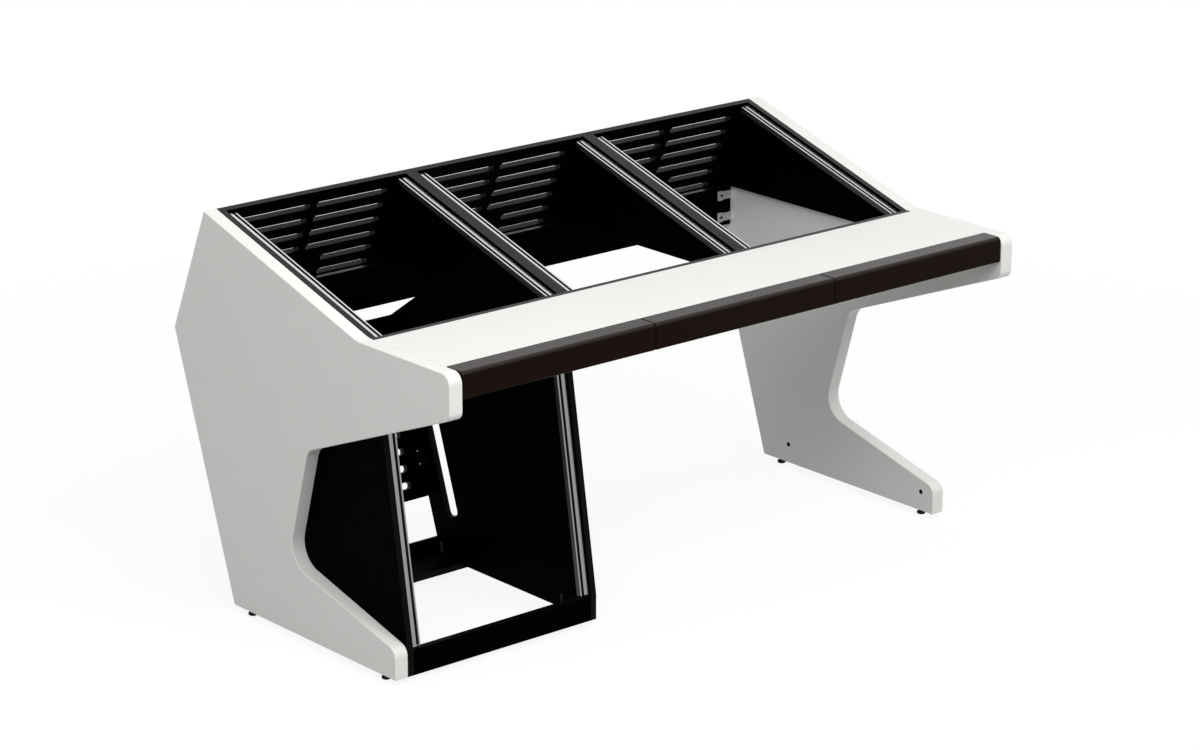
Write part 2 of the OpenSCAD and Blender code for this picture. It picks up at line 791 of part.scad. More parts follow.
// Plate with a nut under the right wall of the rack, for its front foot
module foot_bracket() {
  wall_x = rack_right - board;
  color(steel) stand() difference() {
    union() {
      translate([wall_x - foot_plate[0], feet[4][1] - foot_plate[1] / 2, -foot_plate[2]])
        cube([foot_plate[0] + board, foot_plate[1], foot_plate[2]]);
      translate([feet[4][0], feet[4][1], -0.5]) cylinder(h = 7, d = 13.4, $fn = 6);
    }
    translate([feet[4][0], feet[4][1], -5])
      cylinder(h = 14, d = stud_d + 2 * stud_gap, $fn = 48);
  }
}

module foot_pad(i) {
  color(rubber) translate([feet[i][0], feet[i][1] - mid_y, 0]) difference() {
    rotate_extrude($fn = 64) polygon([
      [0, 0], [foot_pad_d / 2 - 2, 0], [foot_pad_d / 2, 2],
      [foot_pad_d / 2, foot_pad_h - 1], [foot_pad_d / 2 - 1, foot_pad_h], [0, foot_pad_h]
    ]);
    translate([0, 0, 2]) cylinder(h = foot_pad_h, d = stud_d + 2 * stud_gap, $fn = 48);
  }
}
module foot_stud(i) {
  color(steel) translate([feet[i][0], feet[i][1] - mid_y, 0]) {
    translate([0, 0, 2.2])
      cylinder(h = foot_height + stud_reach - 2.2, d = stud_d, $fn = 48);
    translate([0, 0, foot_pad_h + 0.2]) cylinder(h = collar_h, d = collar_d, $fn = 6);
  }
}

left_side_panel();
right_side_panel();
work_top();
front_board();
bay_board(0, 1);  // bay_1_left_board
bay_board(0, -1);  // bay_1_right_board
bay_board(1, 1);  // bay_2_left_board
bay_board(1, -1);  // bay_2_right_board
bay_board(2, 1);  // bay_3_left_board
bay_board(2, -1);  // bay_3_right_board
vent_panel();
back_rail();
rack_left_wall();
rack_right_wall();
rack_front_bar();
rack_shelf();
rack_kick_bar();
rack_back_panel();
bay_rail(0, 1);  // rail_1_left
bay_rail(0, -1);  // rail_1_right
bay_rail(1, 1);  // rail_2_left
bay_rail(1, -1);  // rail_2_right
bay_rail(2, 1);  // rail_3_left
bay_rail(2, -1);  // rail_3_right
rack_rail(1);  // rack_rail_left
rack_rail(-1);  // rack_rail_right
left_pad();
middle_pad();
right_pad();
pad_brackets();
pad_bracket_screws();
corner_brackets();
corner_bracket_screws();
angle_brackets();
angle_bracket_screws();
bay_rail_studs();
rack_rail_studs();
panel_screws();
bay_connectors();
rack_wall_bolts();
wall_dowels();
bar_dowels();
top_dowels();
rack_inserts();
foot_inserts();
foot_bracket();
foot_pad(0);  // foot_1_pad
foot_stud(0);  // foot_1_stud
foot_pad(1);  // foot_2_pad
foot_stud(1);  // foot_2_stud
foot_pad(2);  // foot_3_pad
foot_stud(2);  // foot_3_stud
foot_pad(3);  // foot_4_pad
foot_stud(3);  // foot_4_stud
foot_pad(4);  // foot_5_pad
foot_stud(4);  // foot_5_stud
foot_pad(5);  // foot_6_pad
foot_stud(5);  // foot_6_stud
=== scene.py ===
# %% [markdown]
# # Dressing a studio desk
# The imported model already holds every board, rail, bracket and foot of this desk at its
# true size and place. This lesson keeps all of that. It rounds the edges of the boards as
# a router would, stuffs the three pads of the front edge, cuts real recesses into the
# screws and threads into the feet, and gives each finish its own grain and gloss.

import json
from math import pi, radians

import bmesh
import bpy
import numpy as np
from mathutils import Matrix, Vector


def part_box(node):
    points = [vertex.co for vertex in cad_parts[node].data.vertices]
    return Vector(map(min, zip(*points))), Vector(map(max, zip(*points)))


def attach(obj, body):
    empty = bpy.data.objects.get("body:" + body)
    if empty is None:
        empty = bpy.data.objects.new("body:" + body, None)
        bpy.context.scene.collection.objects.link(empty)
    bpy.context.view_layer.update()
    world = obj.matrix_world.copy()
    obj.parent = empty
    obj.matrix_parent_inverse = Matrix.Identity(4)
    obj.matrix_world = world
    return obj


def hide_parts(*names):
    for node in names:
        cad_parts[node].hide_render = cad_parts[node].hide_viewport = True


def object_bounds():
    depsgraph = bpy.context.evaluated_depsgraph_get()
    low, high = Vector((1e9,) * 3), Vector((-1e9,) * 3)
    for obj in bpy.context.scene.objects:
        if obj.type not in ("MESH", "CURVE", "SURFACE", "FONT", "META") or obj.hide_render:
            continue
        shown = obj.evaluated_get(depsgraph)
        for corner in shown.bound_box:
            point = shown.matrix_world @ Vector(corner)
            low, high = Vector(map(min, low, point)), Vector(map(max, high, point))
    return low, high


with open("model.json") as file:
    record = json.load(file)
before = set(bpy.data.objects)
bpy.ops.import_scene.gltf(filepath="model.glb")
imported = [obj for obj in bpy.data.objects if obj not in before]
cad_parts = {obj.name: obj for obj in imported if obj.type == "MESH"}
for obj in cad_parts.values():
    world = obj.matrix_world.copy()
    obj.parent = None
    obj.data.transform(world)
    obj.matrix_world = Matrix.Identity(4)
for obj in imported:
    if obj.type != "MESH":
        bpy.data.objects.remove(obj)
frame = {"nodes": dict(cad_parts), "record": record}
nodes = frame["nodes"]
cad_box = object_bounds()
mm = 0.001
desk_size = [round(side / mm) for side in cad_box[1] - cad_box[0]]
print(len(nodes), "parts make a desk of", desk_size, "mm")

# %% [markdown]
# ## Camera
# The desk was seen from its front left corner with a long lens, from almost nine metres
# away and with a dip of eighteen degrees. A long lens keeps the edges of the boards nearly
# parallel. The eye's place, its heading and its dip were solved once from the straight
# edges of the desk, so they are plain numbers here.

# %% Put the eye in front of the left corner
scene = bpy.context.scene
eye = Vector((-5.41893, -6.37818, 3.13575))
heading = radians(40.3534)
dip = radians(17.7314)
lens_length = 114.62
farthest = 200

camera = bpy.data.objects.new("camera", bpy.data.cameras.new("camera"))
camera.location = eye
camera.rotation_euler = (pi / 2 - dip, 0, -heading)
camera.data.lens = lens_length
camera.data.clip_end = farthest
scene.collection.objects.link(camera)
scene.camera = camera
scene.view_settings.view_transform = "Standard"
print("the eye is", round(eye.length, 2), "m from the desk's middle")

# %% [markdown]
# ## Building node trees
# Materials, the floor, the room's light and the screws are all made of node trees. One
# small helper adds a node, sets its inputs and links it to what feeds it, so each tree
# below reads from its source to its result.

# %% Add a node and feed it
def add(tree, kind, feeds=None, **settings):
    """Adds a node. A feed is a value, or another node's output, which is linked."""
    node = tree.nodes.new(kind)
    for key, value in settings.items():
        setattr(node, key, value)
    for key, value in (feeds or {}).items():
        if isinstance(value, bpy.types.NodeSocket):
            tree.links.new(value, node.inputs[key])
        else:
            node.inputs[key].default_value = value
    return node


def reckon(tree, operation, *values):
    """The result of one arithmetic node."""
    kind = "ShaderNodeMath"
    return add(tree, kind, dict(enumerate(values)), operation=operation).outputs[0]


# %% [markdown]
# ## Floor and light
# A catalogue picture of this kind has a white surround, and the desk is lit from above by
# something broad and soft. The white could come from strong light on the floor, but that
# would wash out the desk. Here the floor and the room look white to the eye and to shiny
# surfaces, while the light that reaches the desk stays at its own quiet level. Near the
# desk the floor keeps a faint shadow, so the desk still stands on something, and further
# out it fades to plain white.

# %% Tell which rays look and which rays light
def looking(tree):
    """One for rays from the eye and for rays off or through shiny things, or else zero."""
    path = add(tree, "ShaderNodeLightPath").outputs
    shiny = reckon(tree, "MAXIMUM", path["Is Glossy Ray"], path["Is Transmission Ray"])
    return reckon(tree, "MAXIMUM", path["Is Camera Ray"], shiny)


# %% Surround the desk with a pale room
room_light = 0.3

room = bpy.data.worlds.new("pale room")
room.use_nodes = True
scene.world = room
tree = room.node_tree
tree.nodes.clear()
soft = add(tree, "ShaderNodeBackground", {"Color": (1, 1, 1, 1), "Strength": room_light})
white = add(tree, "ShaderNodeBackground", {"Color": (1, 1, 1, 1), "Strength": 1.0})
mixed = add(tree, "ShaderNodeMixShader",
            {0: looking(tree), 1: soft.outputs[0], 2: white.outputs[0]})
add(tree, "ShaderNodeOutputWorld", {"Surface": mixed.outputs[0]})
print("the room gives", room_light, "of its white as light")

# %% Lay a pale floor
floor_reach = 40
floor_grey = 0.45
shadow_share = 0.14
light_on_floor = 0.8
shadow_end, white_start = 1.2, 3.0

mesh = bpy.data.meshes.new("floor")
floor_corners = [(x * floor_reach, y * floor_reach, 0)
                 for x, y in ((-1, -1), (1, -1), (1, 1), (-1, 1))]
mesh.from_pydata(floor_corners, [], [(0, 1, 2, 3)])
floor = bpy.data.objects.new("floor", mesh)
scene.collection.objects.link(floor)

pale = bpy.data.materials.new("pale floor")
pale.use_nodes = True
tree = pale.node_tree
tree.nodes.clear()
lit = add(tree, "ShaderNodeBsdfDiffuse", {"Color": (floor_grey,) * 3 + (1,)})
faint = add(tree, "ShaderNodeBsdfDiffuse", {"Color": (shadow_share,) * 3 + (1,)})
glow = add(tree, "ShaderNodeEmission",
           {"Color": (1, 1, 1, 1), "Strength": 1.0 - shadow_share * light_on_floor})
near = add(tree, "ShaderNodeAddShader", {0: faint.outputs[0], 1: glow.outputs[0]})
far = add(tree, "ShaderNodeEmission", {"Color": (1, 1, 1, 1), "Strength": 1.0})
spot = add(tree, "ShaderNodeTexCoord").outputs["Object"]
distance = add(tree, "ShaderNodeVectorMath", {0: spot}, operation="LENGTH").outputs["Value"]
fade = add(tree, "ShaderNodeMapRange",
           {"Value": distance, "From Min": shadow_end, "From Max": white_start})
shown = add(tree, "ShaderNodeMixShader",
            {0: fade.outputs[0], 1: near.outputs[0], 2: far.outputs[0]})
mixed = add(tree, "ShaderNodeMixShader",
            {0: looking(tree), 1: lit.outputs[0], 2: shown.outputs[0]})
add(tree, "ShaderNodeOutputMaterial", {"Surface": mixed.outputs[0]})
mesh.materials.append(pale)
print("the floor reaches", floor_reach, "m each way")

# %% Hang the lamps
desk_middle = Vector((0, 0, 0.6))


def softbox(name, place, side, watts, mirrored=True):
    """A square lamp that faces the desk. Shiny things may show it or not."""
    lamp = bpy.data.lights.new(name, "AREA")
    lamp.shape = "RECTANGLE"
    lamp.size = lamp.size_y = side
    lamp.energy = watts
    hung = bpy.data.objects.new(name, lamp)
    hung.location = place
    facing = desk_middle - Vector(place)
    hung.rotation_euler = facing.to_track_quat("-Z", "Y").to_euler()
    hung.visible_glossy = mirrored
    scene.collection.objects.link(hung)
    return hung


lamps = [
    softbox("lamp over the desk", (0.3, -0.4, 4.4), side=4.0, watts=37),
    softbox("lamp high in front", (0, -4.5, 4.5), side=3.0, watts=172),
    softbox("lamp high at the left", (-4.0, -1.0, 4.5), side=3.0, watts=15),
    softbox("lamp at the left", (-5.0, 1.5, 2.6), side=2.5, watts=20),
    softbox("lamp near the left corner", (-2.6, -2.4, 3.4), side=2.0, watts=44),
    softbox("lamp behind at the right", (4.5, 3.5, 1.3), side=2.0, watts=9, mirrored=False),
]
print(len(lamps), "soft lamps give", sum(lamp.data.energy for lamp in lamps), "W")

# %% [markdown]
# ## Shared patterns
# Real finishes are never one flat colour. Laminate has fine pores, leather has pebbles
# between creases, drawn aluminium has lines along its length and zinc has a spangle. Each
# of these is a node group with its size as a named input, so several finishes share it at
# their own scale. The groups read the object's own coordinates, which are metres here.

# %% Start a group of shader nodes
def pattern(name, sizes, results):
    """A node group with number inputs and outputs. Returns it, its inputs and its outputs."""
    group = bpy.data.node_groups.new(name, "ShaderNodeTree")
    for label, value in sizes.items():
        made = group.interface.new_socket(label, in_out="INPUT", socket_type="NodeSocketFloat")
        made.default_value = value
    for label in results:
        group.interface.new_socket(label, in_out="OUTPUT", socket_type="NodeSocketFloat")
    start = group.nodes.new("NodeGroupInput").outputs
    end = group.nodes.new("NodeGroupOutput").inputs
    return group, start, end


def here(tree):
    """The place on the piece, in metres."""
    return add(tree, "ShaderNodeTexCoord").outputs["Object"]


# %% Mottling: slow, cloudy change
mottling, size, result = pattern("mottling", {"Size": 0.03, "Detail": 3.0}, ["Amount"])
scale = reckon(mottling, "DIVIDE", 1.0, size["Size"])
clouds = add(mottling, "ShaderNodeTexNoise",
             {"Vector": here(mottling), "Scale": scale, "Detail": size["Detail"]})
mottling.links.new(clouds.outputs[0], result["Amount"])

# %% Pores: the fine texture that is pressed into laminate
dimple_share = 0.35

pores, size, result = pattern("pores", {"Size": 0.0012}, ["Height"])
scale = reckon(pores, "DIVIDE", 1.0, size["Size"])
fine = add(pores, "ShaderNodeTexNoise",
           {"Vector": here(pores), "Scale": scale, "Detail": 4.0, "Roughness": 0.65})
dimples = add(pores, "ShaderNodeTexVoronoi", {"Vector": here(pores), "Scale": scale})
height = reckon(pores, "MULTIPLY_ADD", dimples.outputs["Distance"], dimple_share, fine.outputs[0])
pores.links.new(height, result["Height"])

# %% Drawn lines: scratches that run along one direction
line_stretch = 0.004

lines, size, result = pattern("drawn lines", {"Size": 0.0006, "Tilt": 0.0}, ["Amount"])
level = add(lines, "ShaderNodeVectorRotate",
            {"Vector": here(lines), "Angle": reckon(lines, "MULTIPLY", size["Tilt"], -1.0)},
            rotation_type="X_AXIS")
across = reckon(lines, "DIVIDE", 1.0, size["Size"])
along = reckon(lines, "MULTIPLY", across, line_stretch)
stretch = add(lines, "ShaderNodeCombineXYZ", {"X": across, "Y": along, "Z": across})
drawn = add(lines, "ShaderNodeVectorMath", {0: level.outputs[0], 1: stretch.outputs[0]},
            operation="MULTIPLY")
streaks = add(lines, "ShaderNodeTexNoise",
              {"Vector": drawn.outputs[0], "Scale": 1.0, "Detail": 3.0})
lines.links.new(streaks.outputs[0], result["Amount"])

# %% Hide: pebbles between creases
bends_a_metre = 420.0
bend_reach = 0.6 * mm
crease_width = 0.22
crease_share = 0.8

hide, size, result = pattern("hide", {"Pebble": 0.0016, "Crease": 0.03}, ["Height", "Crease"])
fineness = reckon(hide, "DIVIDE", 1.0, size["Pebble"])
bend = add(hide, "ShaderNodeTexNoise",
           {"Vector": here(hide), "Scale": bends_a_metre, "Detail": 2.0})
shift = add(hide, "ShaderNodeVectorMath", {0: bend.outputs["Color"], "Scale": bend_reach},
            operation="SCALE")
bent = add(hide, "ShaderNodeVectorMath", {0: here(hide), 1: shift.outputs[0]}, operation="ADD")
cells = add(hide, "ShaderNodeTexVoronoi", {"Vector": bent.outputs[0], "Scale": fineness},
            feature="DISTANCE_TO_EDGE")
rise = add(hide, "ShaderNodeMapRange",
           {"Value": cells.outputs["Distance"], "From Max": crease_width},
           interpolation_type="SMOOTHSTEP")
broad = add(hide, "ShaderNodeTexNoise",
            {"Vector": here(hide), "Scale": reckon(hide, "DIVIDE", 1.0, size["Crease"]),
             "Detail": 5.0, "Distortion": 0.6})
height = reckon(hide, "MULTIPLY_ADD", broad.outputs[0], crease_share, rise.outputs[0])
hide.links.new(height, result["Height"])
hide.links.new(reckon(hide, "SUBTRACT", 1.0, rise.outputs[0]), result["Crease"])

# %% Spangle: the crystals of a zinc coat
spangle, size, result = pattern("spangle", {"Size": 0.004}, ["Amount"])
crystals = add(spangle, "ShaderNodeTexVoronoi",
               {"Vector": here(spangle), "Scale": reckon(spangle, "DIVIDE", 1.0, size["Size"])})
grey = add(spangle, "ShaderNodeRGBToBW", {"Color": crystals.outputs["Color"]})
spangle.links.new(grey.outputs[0], result["Amount"])

# %% Wear: where hands and boxes rub a rounded edge
wear, size, result = pattern("wear", {"Size": 0.012}, ["Amount"])
edge = add(wear, "ShaderNodeAttribute", attribute_name="edge")
patches = add(wear, "ShaderNodeTexNoise",
              {"Vector": here(wear), "Scale": reckon(wear, "DIVIDE", 1.0, size["Size"]),
               "Detail": 4.0})
rubbed = reckon(wear, "MULTIPLY", edge.outputs["Fac"], patches.outputs[0])
wear.links.new(rubbed, result["Amount"])
print("patterns:", [group.name for group in bpy.data.node_groups])

# %% [markdown]
# ## Finishes
# A finish is one principled shader. Numbers that are the same all over, such as how much
# a finish reflects, are set on the shader itself. Patterns drive only its colour, its
# roughness and its bump. Black laminate swallows nearly all light, while the edge band
# that is glued round a board is smoother: nearly black when it is seen straight on, and
# grey when light skims over it, which is what a dark base under a thin gloss does. The
# leather has a coat of gloss that grows with how far the surface looks up. That is
# painted sheen: it brightens the tops of the pads with reflection and leaves their
# fronts dark.

# %% Start a finish and let patterns drive it
def finish(name, colour, roughness, metal=0.0, **constants):
    """A material with one principled shader."""
    made = bpy.data.materials.new(name)
    made.use_nodes = True
    shader = made.node_tree.nodes["Principled BSDF"]
    shader.inputs["Base Color"].default_value = (*colour, 1)
    shader.inputs["Roughness"].default_value = roughness
    shader.inputs["Metallic"].default_value = metal
    for label, value in constants.items():
        shader.inputs[label.replace("_", " ")].default_value = value
    return made, made.node_tree, shader.inputs


def use(tree, group, **sizes):
    """Puts a pattern into a finish and returns its outputs."""
    node = tree.nodes.new("ShaderNodeGroup")
    node.node_tree = group
    for label, value in sizes.items():
        node.inputs[label].default_value = value
    return node.outputs


def blend_colour(tree, socket, amount, first, second):
    """The colour goes from first to second with a pattern."""
    mixed = add(tree, "ShaderNodeMix", {0: amount, 6: (*first, 1), 7: (*second, 1)},
                data_type="RGBA")
    tree.links.new(mixed.outputs[2], socket)


def vary(tree, socket, amount, low, high):
    """The number goes from low to high over the middle of a pattern's range."""
    middle_start, middle_end = 0.3, 0.7
    spread = add(tree, "ShaderNodeMapRange",
                 {"Value": amount, "From Min": middle_start, "From Max": middle_end,
                  "To Min": low, "To Max": high})
    tree.links.new(spread.outputs[0], socket)


def emboss(tree, inputs, height, depth):
    """A pattern raises the surface by up to a depth in metres."""
    bump = add(tree, "ShaderNodeBump", {"Height": height, "Distance": depth, "Strength": 1.0})
    tree.links.new(bump.outputs[0], inputs["Normal"])


# %% White laminate and its edge band
white_panel, tree, inputs = finish("white laminate", (0.86, 0.865, 0.835), 0.42,
                                   Specular_IOR_Level=0.35)
cloud = use(tree, mottling, Size=0.08)["Amount"]
blend_colour(tree, inputs["Base Color"], cloud, (0.84, 0.845, 0.815), (0.88, 0.885, 0.855))
vary(tree, inputs["Roughness"], cloud, 0.38, 0.47)
emboss(tree, inputs, use(tree, pores, Size=0.0011)["Height"], 0.025 * mm)

white_band, tree, inputs = finish("white edge band", (0.86, 0.865, 0.835), 0.34,
                                  Specular_IOR_Level=0.4)
cloud = use(tree, mottling, Size=0.02, Detail=5.0)["Amount"]
rub = use(tree, wear)["Amount"]
blend_colour(tree, inputs["Base Color"], rub, (0.87, 0.875, 0.845), (0.78, 0.78, 0.75))
vary(tree, inputs["Roughness"], cloud, 0.30, 0.40)
emboss(tree, inputs, use(tree, mottling, Size=0.006)["Amount"], 0.03 * mm)

# %% Black laminate and its two edge bands
black_board, tree, inputs = finish("black laminate", (0.0006, 0.0006, 0.0010), 0.45,
                                   Specular_IOR_Level=0.005, Specular_Tint=(0.1, 0.1, 0.12, 1))
cloud = use(tree, mottling, Size=0.05)["Amount"]
blend_colour(tree, inputs["Base Color"], cloud,
             (0.0004, 0.0004, 0.0008), (0.0008, 0.0008, 0.0013))
vary(tree, inputs["Roughness"], cloud, 0.40, 0.52)
emboss(tree, inputs, use(tree, pores, Size=0.0009)["Height"], 0.03 * mm)

black_band, tree, inputs = finish("black edge band", (0.003, 0.003, 0.0035), 0.36,
                                  Specular_IOR_Level=0.25, Specular_Tint=(0.35, 0.35, 0.37, 1))
cloud = use(tree, mottling, Size=0.02, Detail=5.0)["Amount"]
rub = use(tree, wear)["Amount"]
blend_colour(tree, inputs["Base Color"], rub, (0.002, 0.002, 0.0025), (0.012, 0.012, 0.013))
vary(tree, inputs["Roughness"], cloud, 0.32, 0.42)
emboss(tree, inputs, use(tree, mottling, Size=0.005)["Amount"], 0.03 * mm)

# The rack's boards take a copy of the edge band that reflects less: painted shade in the rack.
rack_band_painted_shade = black_band.copy()
rack_band_painted_shade.name = "dull black edge band"
dull = rack_band_painted_shade.node_tree.nodes["Principled BSDF"].inputs
dull["Specular IOR Level"].default_value = 0.08

# %% Drawn aluminium, with its lines along a sloping rail
def drawn_aluminium(name, tilt, shade, roughness):
    """Anodised aluminium whose lines climb at a tilt."""
    made, tree, inputs = finish(name, (shade,) * 3, roughness, metal=1.0)
    streak = use(tree, lines, Size=0.0005, Tilt=tilt)["Amount"]
    blend_colour(tree, inputs["Base Color"], streak, (0.92 * shade,) * 3, (1.06 * shade,) * 3)
    vary(tree, inputs["Roughness"], streak, roughness - 0.04, roughness + 0.06)
    emboss(tree, inputs, streak, 0.003 * mm)
    return made


bay_slope = radians(16.9)
rack_lean = radians(9.15)
bay_aluminium = drawn_aluminium("aluminium of the bay rails", bay_slope, 0.70, 0.22)
# The rack rails take a darker copy of the same aluminium: painted shade for the rack below the
# work top.
rack_aluminium_painted_shade = drawn_aluminium("aluminium of the rack rails with painted shade", pi / 2 - rack_lean, 0.30, 0.22)
# A nearly black copy of the aluminium is painted shade on the rails' sides and in their channels.
painted_shade_aluminium = drawn_aluminium("aluminium with painted shade on the rail sides and channels", bay_slope, 0.07, 0.45)

# %% Brown imitation leather
leather, tree, inputs = finish("brown leather", (0.0105, 0.0052, 0.0032), 0.3,
                               Specular_IOR_Level=0.05, Specular_Tint=(0.1, 0.1, 0.1, 1),
                               Coat_Roughness=0.3)
skin = use(tree, hide)
# The colour is darker in the creases between pebbles: painted shade in the creases.
blend_colour(tree, inputs["Base Color"], skin["Crease"],
             (0.0112, 0.0055, 0.0033), (0.0080, 0.0040, 0.0025))
vary(tree, inputs["Roughness"], use(tree, mottling, Size=0.015)["Amount"], 0.27, 0.33)
# The coat grows on leather that looks up: painted sheen on the pads' tops.
painted_sheen = add(tree, "ShaderNodeAttribute", attribute_name="painted_sheen").outputs["Fac"]
vary(tree, inputs["Coat Weight"], painted_sheen, 0.0, 0.4)
emboss(tree, inputs, skin["Height"], 0.02 * mm)

# %% Zinc, bright plate and black steel
zinc_steel, tree, inputs = finish("zinc plate", (0.55, 0.55, 0.54), 0.35, metal=1.0)
crystal = use(tree, spangle)["Amount"]
blend_colour(tree, inputs["Base Color"], crystal, (0.48, 0.48, 0.475), (0.64, 0.64, 0.63))
vary(tree, inputs["Roughness"], crystal, 0.28, 0.42)
emboss(tree, inputs, use(tree, mottling, Size=0.0015)["Amount"], 0.02 * mm)

bright_steel, tree, inputs = finish("bright plate", (0.75, 0.75, 0.75), 0.16, metal=1.0)
cloud = use(tree, mottling, Size=0.0012, Detail=4.0)["Amount"]
blend_colour(tree, inputs["Base Color"], cloud, (0.68, 0.68, 0.69), (0.82, 0.82, 0.82))
vary(tree, inputs["Roughness"], cloud, 0.10, 0.24)

black_steel, tree, inputs = finish("black steel", (0.002, 0.002, 0.0022), 0.48,
                                   Specular_IOR_Level=0.05, Specular_Tint=(0.3, 0.3, 0.3, 1))
cloud = use(tree, mottling, Size=0.003, Detail=4.0)["Amount"]
rub = use(tree, wear, Size=0.004)["Amount"]
blend_colour(tree, inputs["Base Color"], rub, (0.0015, 0.0015, 0.0018), (0.012, 0.012, 0.012))
vary(tree, inputs["Roughness"], cloud, 0.34, 0.50)
emboss(tree, inputs, cloud, 0.03 * mm)

# The studs get nearly black steel: painted shade for the dark rack that they stand in.
stud_steel_painted_shade, tree, inputs = finish("stud steel darkened as painted shade", (0.03, 0.03, 0.032), 0.4, metal=1.0)
cloud = use(tree, mottling, Size=0.0012, Detail=4.0)["Amount"]
blend_colour(tree, inputs["Base Color"], cloud, (0.02, 0.02, 0.022), (0.04, 0.04, 0.042))
vary(tree, inputs["Roughness"], cloud, 0.34, 0.46)

# %% Moulded rubber and plain beech
foot_rubber, tree, inputs = finish("moulded rubber", (0.006, 0.006, 0.006), 0.7,
                                   Specular_IOR_Level=0.2)
cloud = use(tree, mottling, Size=0.002, Detail=4.0)["Amount"]
blend_colour(tree, inputs["Base Color"], cloud, (0.004, 0.004, 0.004), (0.009, 0.009, 0.009))
vary(tree, inputs["Roughness"], cloud, 0.6, 0.8)
emboss(tree, inputs, cloud, 0.05 * mm)

beech, tree, inputs = finish("plain beech", (0.55, 0.36, 0.19), 0.6)
grain = use(tree, lines, Size=0.0012, Tilt=0.0)["Amount"]
blend_colour(tree, inputs["Base Color"], grain, (0.48, 0.30, 0.15), (0.62, 0.43, 0.25))
vary(tree, inputs["Roughness"], grain, 0.5, 0.7)
emboss(tree, inputs, grain, 0.08 * mm)

# %% Give every part of the model its finish
finishes = {
    "white_panel": white_panel, "black_board": black_board, "rail_aluminium": bay_aluminium,
    "pad_leather": leather, "zinc_steel": zinc_steel, "bright_steel": bright_steel,
    "black_steel": black_steel, "foot_rubber": foot_rubber, "beech_dowel": beech,
}
slot_of = {part["node"]: part["material_slot"] for part in frame["record"]["subparts"]}
finish_of = {name: finishes[slot_of[name]] for name in nodes}
finish_of["rack_rail_left"] = finish_of["rack_rail_right"] = rack_aluminium_painted_shade
# The studs take the nearly black steel as painted shade.
finish_of.update({name: stud_steel_painted_shade for name in nodes if name.endswith("_stud")})
finish_of["corner_bracket_screws"] = black_steel
for name, node in nodes.items():
    for place in node.material_slots:
        place.material = finish_of[name]
print(len(finishes), "kinds of finish on", len(nodes), "parts")

# %% [markdown]
# ## Rounded boards
# No real board has a knife edge. The white panels have a glued edge band whose corners
# are rounded by about two millimetres, and the black boards are eased just enough to be
# kind to hands. Those small curves catch the light and draw the bright lines along the
# desk's outline. A copy of each board gets a bevel on its outline, and small bores are
# left sharp, because their inserts and screws fit them flush. The walls of the vent slots
# carry edge band too, so the lining makes each slot a little narrower.

# %% Copy a part as a clean mesh
same_place = 0.002 * mm
same_plane = radians(0.2)


def clean_mesh(name):
    """The part's own shape, with its triangles joined into whole flat faces."""
    source = nodes[name].data
    corners = [tuple(corner.co) for corner in source.vertices]
    faces = [tuple(face.vertices) for face in source.polygons]
    mesh = bpy.data.meshes.new(name)
    mesh.from_pydata(corners, [], faces)
    shape = bmesh.new()
    shape.from_mesh(mesh)
    bmesh.ops.remove_doubles(shape, verts=shape.verts, dist=same_place)
    bmesh.ops.dissolve_limit(shape, angle_limit=same_plane, verts=shape.verts, edges=shape.edges)
    shape.to_mesh(mesh)
    shape.free()
    return mesh


def new_piece(name, mesh):
    """An object at the origin, with its place in its mesh."""
    piece = bpy.data.objects.new(name, mesh)
    scene.collection.objects.link(piece)
    return piece


def settle(piece):
    """Turns a piece's modifiers into plain mesh."""
    seen = piece.evaluated_get(bpy.context.evaluated_depsgraph_get())
    mesh = bpy.data.meshes.new_from_object(seen)
    piece.modifiers.clear()
    piece.data = mesh
    return piece


# %% Find the edges that a router would follow
sharp_turn = radians(40)


def mark_outlines(mesh, smallest_loop):
    """Marks sharp edges for the bevel, apart from the rims of small bores."""
    shape = bmesh.new()
    shape.from_mesh(mesh)
    weight = shape.edges.layers.float.new("bevel_weight_edge")
    sharp = {edge for edge in shape.edges
             if len(edge.link_faces) == 2 and edge.calc_face_angle() > sharp_turn}
    while sharp:
        loop = [sharp.pop()]
        for edge in loop:
            touching = {other for corner in edge.verts for other in corner.link_edges} & sharp
            sharp -= touching
            loop.extend(touching)
        places = np.array([corner.co for edge in loop for corner in edge.verts])
        if np.ptp(places, axis=0).max() > smallest_loop:
            for edge in loop:
                edge[weight] = 1.0
    shape.to_mesh(mesh)
    shape.free()


# %% Line the slots of a board with edge band
shortest_slot = 20 * mm
longest_slot = 300 * mm
wall_lean = 0.2


def line_slots(mesh, thickness):
    """Makes the slots narrower by the thickness of the band that covers their walls."""
    shape = bmesh.new()
    shape.from_mesh(mesh)
    flat_way = max(shape.faces, key=lambda face: face.calc_area()).normal.copy()
    walls = {face for face in shape.faces if abs(face.normal.dot(flat_way)) < wall_lean}
    while walls:
        slot = [walls.pop()]
        for wall in slot:
            beside = {other for edge in wall.edges for other in edge.link_faces} & walls
            walls -= beside
            slot.extend(beside)
        corners = {corner for wall in slot for corner in wall.verts}
        places = np.array([corner.co for corner in corners])
        if not shortest_slot < np.ptp(places, axis=0).max() < longest_slot:
            continue
        ways = {corner: sum((wall.normal for wall in corner.link_faces if wall in slot), Vector())
                for corner in corners}
        for corner, way in ways.items():
            corner.co += way.normalized() * thickness
    shape.to_mesh(mesh)
    shape.free()


# %% Round a board and smooth its shading
crease_turn = radians(30)
steps_round_edge = 3


